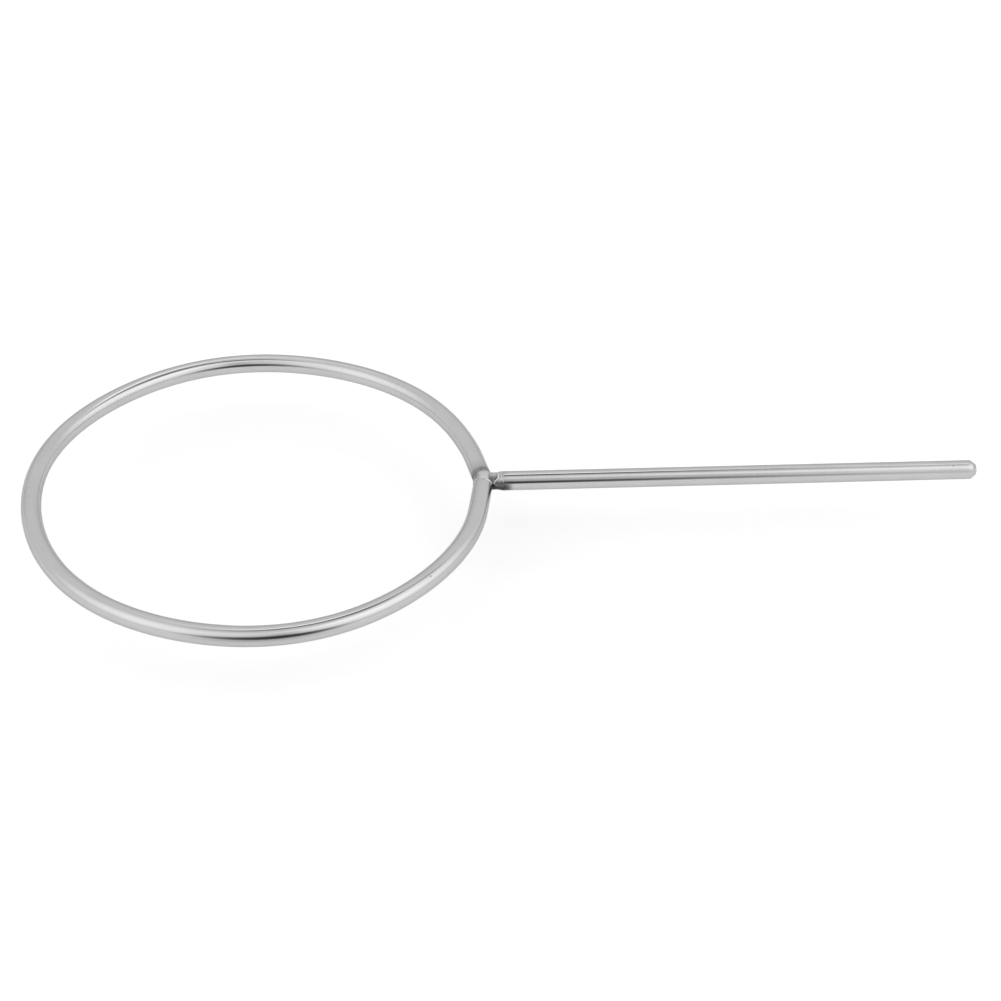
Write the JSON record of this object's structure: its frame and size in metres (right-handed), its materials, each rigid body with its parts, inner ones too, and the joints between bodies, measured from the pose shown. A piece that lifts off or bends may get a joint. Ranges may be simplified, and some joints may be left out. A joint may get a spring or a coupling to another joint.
{
  "type": "lab stand support ring",
  "caption": "Closed ring of round stainless bar with a straight plain stem welded to its outside; clamps in a boss head and carries a funnel, flask or large tube.",
  "frame": {"origin": "centre of the ring, half way up the bar", "axes": "+X along the stem to its free end, +Z square to the ring, which is alike on both faces"},
  "size_m": [0.2955, 0.142, 0.0066],
  "materials": {
    "stainless_bar": "polished stainless steel bar, nearly mirror bright, with very fine grain round the bar",
    "weld_metal": "fusion weld in stainless steel, cleaned but not ground, faintly rippled and duller than the bar"
  },
  "bodies": {
    "root": {"support_ring": "stainless_bar", "stem": "stainless_bar", "ring_seam_weld": "weld_metal", "stem_weld": "weld_metal"}
  },
  "joints": []
}
